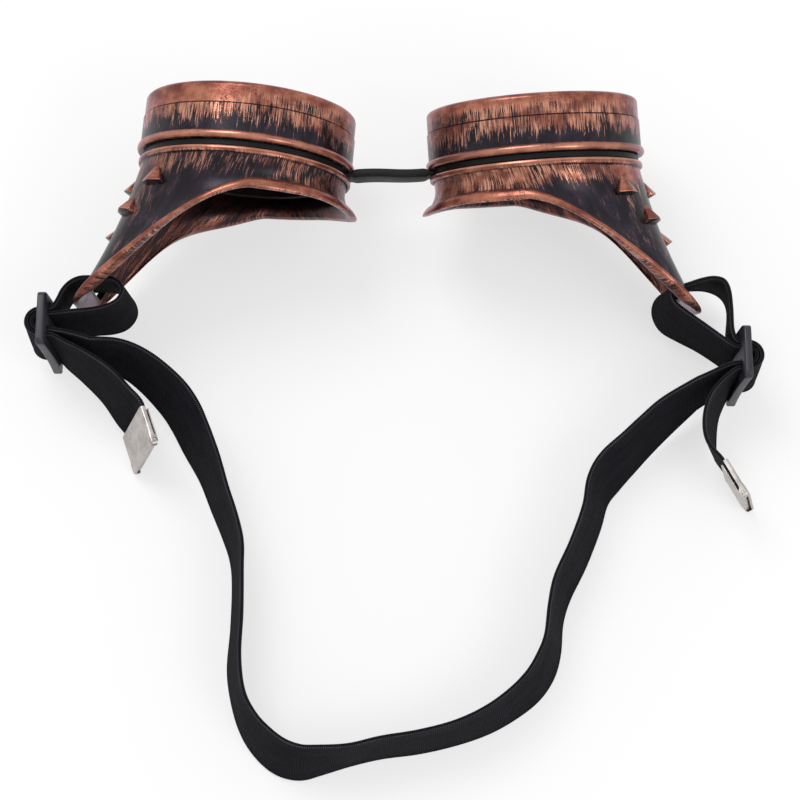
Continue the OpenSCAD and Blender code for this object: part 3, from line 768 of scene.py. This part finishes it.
# The webbing goes round the slider's middle bar in two layers, and its turns lie a little outward of the bar
LAYER_GAP = 0.2
NEAR = BAR / 2 + LAYER_GAP + STRAP_T / 2
FAR = NEAR + STRAP_T + LAYER_GAP
TURN_OUT = 1.6
TURN_STEPS = 14
CLIP_LONG, CLIP_PAST_PIN = 11.6, 1.2
CLIP_FRONT = CLIP_PAST_PIN - CLIP_LONG
CLIP_HALF = STRAP_W / 2 + 0.7
CLIP_CLEAR = 0.3
PLATE_Y = STRAP_T / 2 + 0.05
TAIL_STOP = -1.9


def clip_at(side):
    """Middle of the clip's pin, from the slider, with the clip's lower edge just clear of the table."""
    a = radians(LEAN[side])
    lift = CLIP_HALF * math.cos(a) + (PLATE_Y + SHEET) * math.sin(a) + CLIP_CLEAR
    return np.array([*PIN_AT[side], lift - SLIDER_AT[side][2]])


def in_clip(side, x):
    a = radians(HEADING[side])
    return [*(clip_at(side) + x * np.array([math.cos(a), math.sin(a), 0])), LEAN[side]]


def turn(r, start, stop):
    return [[r * math.cos(radians(a)) - TURN_OUT, r * math.sin(radians(a)), 0, 0]
            for a in np.linspace(start, stop, TURN_STEPS)]


def from_slider(side, p):
    return np.asarray(p, float)[..., :3] * [-SIDES[side], 1, 1] + SLIDER_AT[side]


def end_path(side):
    """Strap end: through the slider, round the eyecup's slot, back through the slider and into the clip."""
    into = curve(MAIN_ROUTE[side] + [[TURN_OUT, -NEAR, 0, 0]])
    loop = curve([[TURN_OUT, NEAR, 0, 0]] + LOOP_ROUTE[side] + [[TURN_OUT, FAR, 0, 0]])
    held = [in_clip(side, x) for x in (CLIP_FRONT - 1.5, CLIP_FRONT, TAIL_STOP)]
    tail = curve([[TURN_OUT, -FAR, 0, 0]] + TAIL_ROUTE[side] + held)
    return np.vstack([into, turn(NEAR, -90, -270), loop, turn(FAR, 90, 270), tail])


def lying(p):
    a = radians(p[3])
    lift = p[2] + 0.06 + math.cos(a) * STRAP_W / 2 + math.sin(a) * STRAP_T / 2
    return [p[0] + MIDDLE[0], p[1] + MIDDLE[1], lift, p[3]]


def join_point(side):
    """Where the head strap meets the strap end."""
    start = MAIN_ROUTE[side][0]
    return [*from_slider(side, start), -start[3]]


def resample(path, step):
    """The path at even steps, an even number of them, and the distance run at each."""
    keep = np.concatenate([[True], np.linalg.norm(np.diff(path[:, :3], axis=0), axis=1) > 1e-6])
    path = path[keep]
    s = np.concatenate([[0], np.cumsum(np.linalg.norm(np.diff(path[:, :3], axis=0), axis=1))])
    n = max(2, int(round(s[-1] / step / 2)) * 2)
    at = np.linspace(0, s[-1], n + 1)
    return np.stack([np.interp(at, s, path[:, i]) for i in range(4)], 1), at


# Ribs across the webbing: pitch, depth and the notch they leave in its edges
RIB, RIB_DEPTH, EDGE_NOTCH = 0.56, 0.12, 0.012
SMOOTHINGS = 12
# One face of the webbing, as shares: place across the width, thickness there, and how deep the ribs go
ACROSS = np.array([-1, -0.975, -0.94, -0.9, -0.45, 0, 0.45, 0.9, 0.94, 0.975, 1])
SWELL = np.array([0.35, 0.8, 0.98, 0.8, 0.93, 0.95, 0.93, 0.8, 0.98, 0.8, 0.35])
RIBBING = np.array([0, 0.4, 0.4, 0.9, 1, 1, 1, 0.9, 0.4, 0.4, 0])


def ribbed(name, path, first=None, last=None):
    """Ribbed elastic webbing along a path, with beaded edges; first and last are directions at its ends."""
    p, s = resample(path, RIB / 2)
    for _ in range(SMOOTHINGS):
        p[1:-1] = p[1:-1] * 0.5 + (p[:-2] + p[2:]) * 0.25
    d = np.gradient(p[:, :3], axis=0)
    if first is not None:
        d[0] = first
    if last is not None:
        d[-1] = last
    d = unit(d)
    left = unit(np.stack([-d[:, 1], d[:, 0], 0 * d[:, 0]], 1))
    a = np.radians(p[:, 3])[:, None]
    up = np.cos(a) * [0, 0, 1] + np.sin(a) * left
    out = unit(np.cross(d, up))
    odd = np.arange(len(p)) % 2
    rows, run, crest_light, stitch = [], [], [], []
    for face in (1, -1):
        for w, swell, deep in list(zip(ACROSS, SWELL, RIBBING))[::face]:
            outer = abs(w) > 0.95
            reach = STRAP_W / 2 * w * (1 - EDGE_NOTCH * odd * outer)
            thick = STRAP_T / 2 * swell - deep * RIB_DEPTH * odd
            rows.append(p[:, :3] + up * reach[:, None] + out * (face * thick)[:, None])
            run.append(np.stack([s, np.full(len(p), STRAP_W / 2 * w), np.full(len(p), face * 3.0)], 1))
            # Crest rows carry the painted highlight, half of it at the edges
            crest_light.append((1.0 - odd) * (0.5 if outer else 1))
            stitch.append((1.0 - odd) * (outer and abs(w) < 0.99))
    verts, faces = loft(np.stack(rows, 1))
    return make(name, verts, faces, 22, {
        "run": np.stack(run, 1).reshape(-1, 3), "crest_light": np.stack(crest_light, 1).ravel(),
        "stitch": np.stack(stitch, 1).ravel()})


# Direction of the webbing where the head strap meets a strap end
JOIN_DIR = np.array([0.93, -0.37, 0])


def build_straps():
    into = {side: unit(JOIN_DIR * [-SIDES[side], 1, 1]) for side in SIDES}
    head = curve([join_point("left")] + [lying(p) for p in HEAD_ROUTE] + [join_point("right")])
    middle = int(np.argmin(np.abs(head[:, 0]) + (head[:, 1] > -60) * 1000))
    for side, path, first, last in (("left", head[:middle + 1], into["left"], None),
                                    ("right", head[middle:], None, -into["right"])):
        half = ribbed(side + "_strap_half", path, first, last)
        finish_piece(half, "strap_elastic", "head_strap")
        end = np.array(join_point(side)[:3])
        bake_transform(half)
    for side in SIDES:
        path = end_path(side)
        path[:, :3] = from_slider(side, path)
        path[:, 3] *= -SIDES[side]
        end = ribbed(side + "_strap_tail", path, -into[side])
        finish_piece(end, "strap_elastic", side + "_strap_end")
        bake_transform(end)


# Bridge
BAND_MID = (GROOVE_FRONT + FLANGE_FRONT) / 2
SPAN_R = RING_R + BEAD_H + 1
BAND_H, BAND_T, LOOP_WALL = 6.5, 2.2, 1.3
# The span's curve: how far its ends reach into the grooves, how long its handles are, and their shift along y
SPAN_SUNK, HANDLE = 3.3, 8
HANDLE_SHIFT = {"left": 2.6, "right": -0.8}
SPAN_STEPS = 96
# Thickness between the cups, against 1 for the band itself, and what it loses in the grooves
STOUT, GROOVE_THIN = 1.16, 0.36


def nose_point(side, r):
    return placed([[-r, BAND_MID, 0]], cup_matrix(side))[0]


def cup_axis(side, i):
    return np.array(cup_matrix(side))[:3, i]


def build_bridge():
    """Rubber band: a span in two halves between the cups, and a loop in each groove."""
    a, d = (nose_point(side, SPAN_R - SPAN_SUNK) for side in SIDES)
    b, c = (nose_point(side, SPAN_R + HANDLE) + cup_axis(side, 1) * HANDLE_SHIFT[side] for side in SIDES)
    k = np.linspace(0, 1, SPAN_STEPS + 1)[:, None]
    q = 1 - k
    path = q ** 3 * a + 3 * q * q * k * b + 3 * q * k * k * c + k ** 3 * d
    along = unit(np.gradient(path, axis=0))
    upright = np.array([0, 0, 1]) * np.minimum(10 * k * q, 1)
    up = unit(cup_axis("left", 2) * q + cup_axis("right", 2) * k + upright)
    out = unit(np.cross(along, up))
    ring = np.linspace(0, 2 * np.pi, 28, endpoint=False)
    w = np.sign(np.cos(ring)) * np.abs(np.cos(ring)) ** 0.35 * BAND_H / 2
    t = np.sign(np.sin(ring)) * np.abs(np.sin(ring)) ** 0.4 * BAND_T / 2
    gone = np.minimum(np.linalg.norm(path - a, axis=1), np.linalg.norm(path - d, axis=1))[:, None, None]
    stout = STOUT - GROOVE_THIN * (1 - rise((gone - 1.6) / 1.6))
    rows = path[:, None] + up[:, None] * w[None, :, None] + stout * out[:, None] * t[None, :, None]
    middle = SPAN_STEPS // 2
    inner, front, back = BARREL_R + 0.05, GROOVE_FRONT - 0.05, FLANGE_FRONT + 0.05
    outer, soft = inner + LOOP_WALL, 0.25
    section = [(inner, front), (outer - soft, front), (outer, front - soft),
               (outer, back + soft), (outer - soft, back), (inner, back)]
    for side, part in (("left", rows[:middle + 1]), ("right", rows[middle:])):
        span = make(side + "_bridge_span", *loft(part), 50)
        finish_piece(span, "bridge_rubber", "bridge_band")
        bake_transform(span)
        verts, faces = loft(np.array([revolved(r, y) for r, y in section]), looped=True)
        loop = make(side + "_bridge_loop", placed(verts, cup_matrix(side)), faces, 40)
        finish_piece(loop, "bridge_rubber", "bridge_band")
        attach(loop, side + "_eyecup")


# Sliders
SLIDER_CORNER = 1.8
SLIDER_EDGE = 0.55
SLIDER_SHARP = 40


def rounded_section(hx, hy, r):
    """Points of a rounded rectangle, hx by hy from its middle."""
    a = np.radians(np.linspace(0, 90, 5))
    out = []
    for turns, (sx, sy) in enumerate([(1, 1), (-1, 1), (-1, -1), (1, -1)]):
        arc = a + turns * math.pi / 2
        out.append(np.stack([sx * (hx - r) + r * np.cos(arc), sy * (hy - r) + r * np.sin(arc)], 1))
    return np.vstack(out)


def slider_lean(z):
    """The slider leans outward at the top and bows a little, as bent by the strap."""
    k = z / (SLIDER_H / 2)
    return 0.5 * (1 - k * k) - 1.15 * k


def slot_block(at):
    """Block that cuts one of the slider's two slots."""
    bm = bmesh.new()
    bmesh.ops.create_cube(bm, size=1, matrix=Matrix.Translation((0, at * (BAR + SLOT_W) / 2, 0))
                          @ Matrix.Diagonal((12, SLOT_W, STRAP_W + 1, 1)))
    cross = [e for e in bm.edges if abs((e.verts[0].co - e.verts[1].co).normalized().x) > 0.9]
    bmesh.ops.bevel(bm, geom=cross, offset=0.6, segments=4, affect="EDGES", profile=0.5)
    return taken(bm)


def build_slider(side):
    half_h, half_w = SLIDER_H / 2, SLIDER_W / 2
    ends = half_h - SLIDER_CORNER * (1 - np.sin(np.radians(np.linspace(0, 84, 9))))
    z = np.concatenate([-ends[::-1], np.linspace(-ends[0], ends[0], 26)[1:-1], ends])
    over = np.maximum(np.abs(z) - (half_h - SLIDER_CORNER), 0)
    inset = SLIDER_CORNER - np.sqrt(SLIDER_CORNER ** 2 - over ** 2)
    rows = []
    for zi, gap in zip(z, inset):
        flat = rounded_section(SLIDER_T / 2 - gap * 0.35, half_w - gap, SLIDER_EDGE)
        rows.append(np.column_stack([flat[:, 0] + slider_lean(zi), flat[:, 1], np.full(len(flat), zi)]))
    verts, faces = loft(np.array(rows))
    body = make(side + "_slider_frame", from_slider(side, verts), faces, SLIDER_SHARP)
    points, faces = gathered([slot_block(at) for at in (-1, 1)])
    cut(body, make(side + "_slots", from_slider(side, points), faces, 30), SLIDER_SHARP)
    finish_piece(body, "slider_plastic", side + "_slider")
    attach(body, side + "_buckle")


# Clips
SHEET = 0.6
FLANGE_TIP = 0.1
EAR_R, EAR_LONG = 0.75, 1.5
PLATE_CORNER = 1.3
PLATE_BEND = 0.66
JAW_SHEET = 0.4
JAW_HALF = STRAP_W / 2 - 0.1
ROLL_MID = 0.62
PIN_R = 0.38


def clip_matrix(side):
    """From a clip's frame to the table's: x to the hinge, y from plate to jaw, z across the webbing."""
    return (Matrix.Translation(SLIDER_AT[side]) @ Matrix.Diagonal((-SIDES[side], 1, 1, 1))
            @ Matrix.Translation(clip_at(side)) @ Matrix.Rotation(radians(HEADING[side]), 4, "Z")
            @ Matrix.Rotation(-radians(LEAN[side]), 4, "X"))


def channel(back, tip, half):
    """Section of the bent plate as y and z: back at -back, flanges up to tip, half as wide as the clip."""
    a = np.radians(np.linspace(0, 90, 5))
    bend, inner, small = PLATE_BEND, half - SHEET, PLATE_BEND - SHEET
    out = [(tip, -half)] + [(bend - back - bend * np.sin(v), bend - half - bend * np.cos(v)) for v in a]
    out += [(bend - back - bend * np.sin(v), half - bend + bend * np.cos(v)) for v in a[::-1]]
    out += [(tip, half), (tip, inner)]
    face = back - SHEET
    out += [(small - face - small * np.sin(v), inner - small + small * np.cos(v)) for v in a]
    out += [(small - face - small * np.sin(v), small - inner - small * np.cos(v)) for v in a[::-1]]
    return np.array(out + [(tip, -inner)])


def plate_rows():
    """Sections of the plate from its front edge to the ears round the pin."""
    rows = []
    for x in np.concatenate([np.linspace(CLIP_FRONT, 0.2, 22), np.linspace(0.35, 1.42, 9)]):
        back = PLATE_Y + SHEET + 0.2 * rise((x + 3) / 2)
        if x < 0:
            tip = FLANGE_TIP + (EAR_R - FLANGE_TIP) * rise((x + 1.9) / 1.2)
        else:
            tip = EAR_R * math.sqrt(1 - (x / EAR_LONG) ** 2)
        corner = PLATE_CORNER - math.sqrt(PLATE_CORNER ** 2 - max(x - 0.25, 0) ** 2)
        flat = channel(back, tip, CLIP_HALF - corner)
        rows.append(np.column_stack([np.full(len(flat), x), flat]))
    return np.array(rows)


def jaw_rows():
    """Sections of the inner jaw: a roll round the pin, a long leaf and a lifted edge."""
    roll = np.radians(np.linspace(-165, 80, 26))
    line = np.vstack([np.column_stack([np.cos(roll), np.sin(roll)]) * ROLL_MID,
                      [[-0.35, 0.78], [-1, 0.92]], [[x, 0.92] for x in np.linspace(-2, -8.8, 8)],
                      [[-9.3, 0.96], [-9.7, 1.06]]])
    along = unit(np.gradient(line, axis=0))
    normal = np.stack([-along[:, 1], along[:, 0]], 1)
    rows = []
    for z, thick in [(-JAW_HALF, 0.6), (-JAW_HALF + 0.08, 1), (JAW_HALF - 0.08, 1), (JAW_HALF, 0.6)]:
        edge = normal * JAW_SHEET / 2 * thick
        flat = np.vstack([line + edge, (line - edge)[::-1]])
        rows.append(np.column_stack([flat, np.full(len(flat), z)]))
    return np.array(rows)


def pin_rows():
    """Sections of the pin, with a low head at each end."""
    head = [(0.2, -0.3), (0.42, -0.24), (0.55, -0.1), (0.55, 0), (PIN_R, 0)]
    outline = [(r, z - CLIP_HALF) for r, z in head] + [(r, CLIP_HALF - z) for r, z in head[::-1]]
    a = np.linspace(0, 2 * np.pi, 20, endpoint=False)
    return np.array([np.stack([r * np.cos(a), r * np.sin(a), 0 * a + z], 1) for r, z in outline])


def build_clip(side):
    for name, rows, node, body in (("plate", plate_rows(), "body", "eyecup"),
                                   ("gripper", jaw_rows(), "jaw", "gripper"),
                                   ("rivet", pin_rows(), "pin", "eyecup")):
        verts, faces = loft(rows)
        piece = make(side + "_clip_" + name, placed(verts, clip_matrix(side)), faces)
        finish_piece(piece, "clip_nickel", side + "_clip_" + node)
        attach(piece, side + "_" + body)


# Finishes on the CAD nodes that keep their own shape
def dress_nodes():
    for side in SIDES:
        for part, slot in (("lens", "smoked_lens"), ("gasket", "gasket_rubber")):
            dress(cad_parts[side + "_" + part], slot)


# Stage
SKY_LIGHT = 0.72
FLOOR_WHITE = 0.62
FLOOR_SIZE = 6
WHITE = (1, 1, 1, 1)


def shown(nodes):
    """1 for the rays that see the pale background: those of the camera, of gloss and of glass."""
    ray = nodes.add("LightPath").outputs
    seen = nodes.math("MAXIMUM", ray["Is Camera Ray"], ray["Is Glossy Ray"])
    return nodes.math("MAXIMUM", seen, ray["Is Transmission Ray"])


def build_world(scene):
    """Plain light from all round at SKY_LIGHT, which shows as white."""
    world = bpy.data.worlds.new("studio")
    world.use_nodes = True
    n = Nodes(world.node_tree)
    mix = n.add("MixShader", inputs={0: shown(n)})
    for socket, strength in ((1, SKY_LIGHT), (2, 1.0)):
        sky = n.add("Background", inputs={"Color": WHITE, "Strength": strength})
        n.put(mix.inputs[socket], sky.outputs[0])
    n.put(n.tree.nodes["World Output"].inputs["Surface"], mix.outputs[0])
    scene.world = world


def build_floor():
    """Pale paper that keeps the object's shadow."""
    bpy.ops.mesh.primitive_plane_add(size=FLOOR_SIZE, location=(0, 0, -0.0001))
    floor = bpy.context.object
    floor.name = "floor"
    n = Material("floor_paper")
    n.finish(Base_Color=(0.9, 0.9, 0.9, 1), Roughness=0.8, Specular_IOR_Level=0.1)
    paper = n.add("Emission", inputs={"Color": WHITE, "Strength": 1.0})
    share = n.product(shown(n), FLOOR_WHITE)
    both = n.add("MixShader", inputs={0: share, 1: n.shader.outputs[0], 2: paper.outputs[0]})
    n.put(n.tree.nodes["Material Output"].inputs["Surface"], both.outputs[0])
    floor.data.materials.append(n.mat)


def lamp(scene, name, spot, target, size, power):
    light = bpy.data.lights.new(name, "AREA")
    light.shape = "DISK"
    light.size = size
    light.energy = power
    obj = bpy.data.objects.new(name, light)
    obj.location = spot
    obj.rotation_euler = (Vector(target) - Vector(spot)).to_track_quat("-Z", "Y").to_euler()
    scene.collection.objects.link(obj)


def build_camera(scene):
    camera = bpy.data.cameras.new("camera")
    camera.sensor_width = SENSOR_MM
    camera.lens = SENSOR_MM * FOCAL_PX / PHOTO_PX
    obj = bpy.data.objects.new("camera", camera)
    far = np.array([0, -math.cos(CAMERA_HIGH), math.sin(CAMERA_HIGH)]) * CAMERA_FAR
    obj.location = tuple((MIDDLE + far) * MM)
    obj.rotation_euler = (math.pi / 2 - CAMERA_HIGH, 0, 0)
    scene.collection.objects.link(obj)
    scene.camera = obj


def build_stage():
    scene = bpy.context.scene
    scene.view_settings.view_transform = "Standard"
    build_world(scene)
    build_floor()
    lamp(scene, "key", (-0.35, 0.45, 0.95), (0, 0.05, 0.02), 0.6, 4.6)
    lamp(scene, "fill", (0.6, -0.45, 0.8), (0, 0.02, 0.02), 0.5, 2.2)
    build_camera(scene)


build_stage()
for side in SIDES:
    build_cup(side)
    build_ring(side)
    build_slider(side)
    build_clip(side)
build_straps()
build_bridge()
dress_nodes()
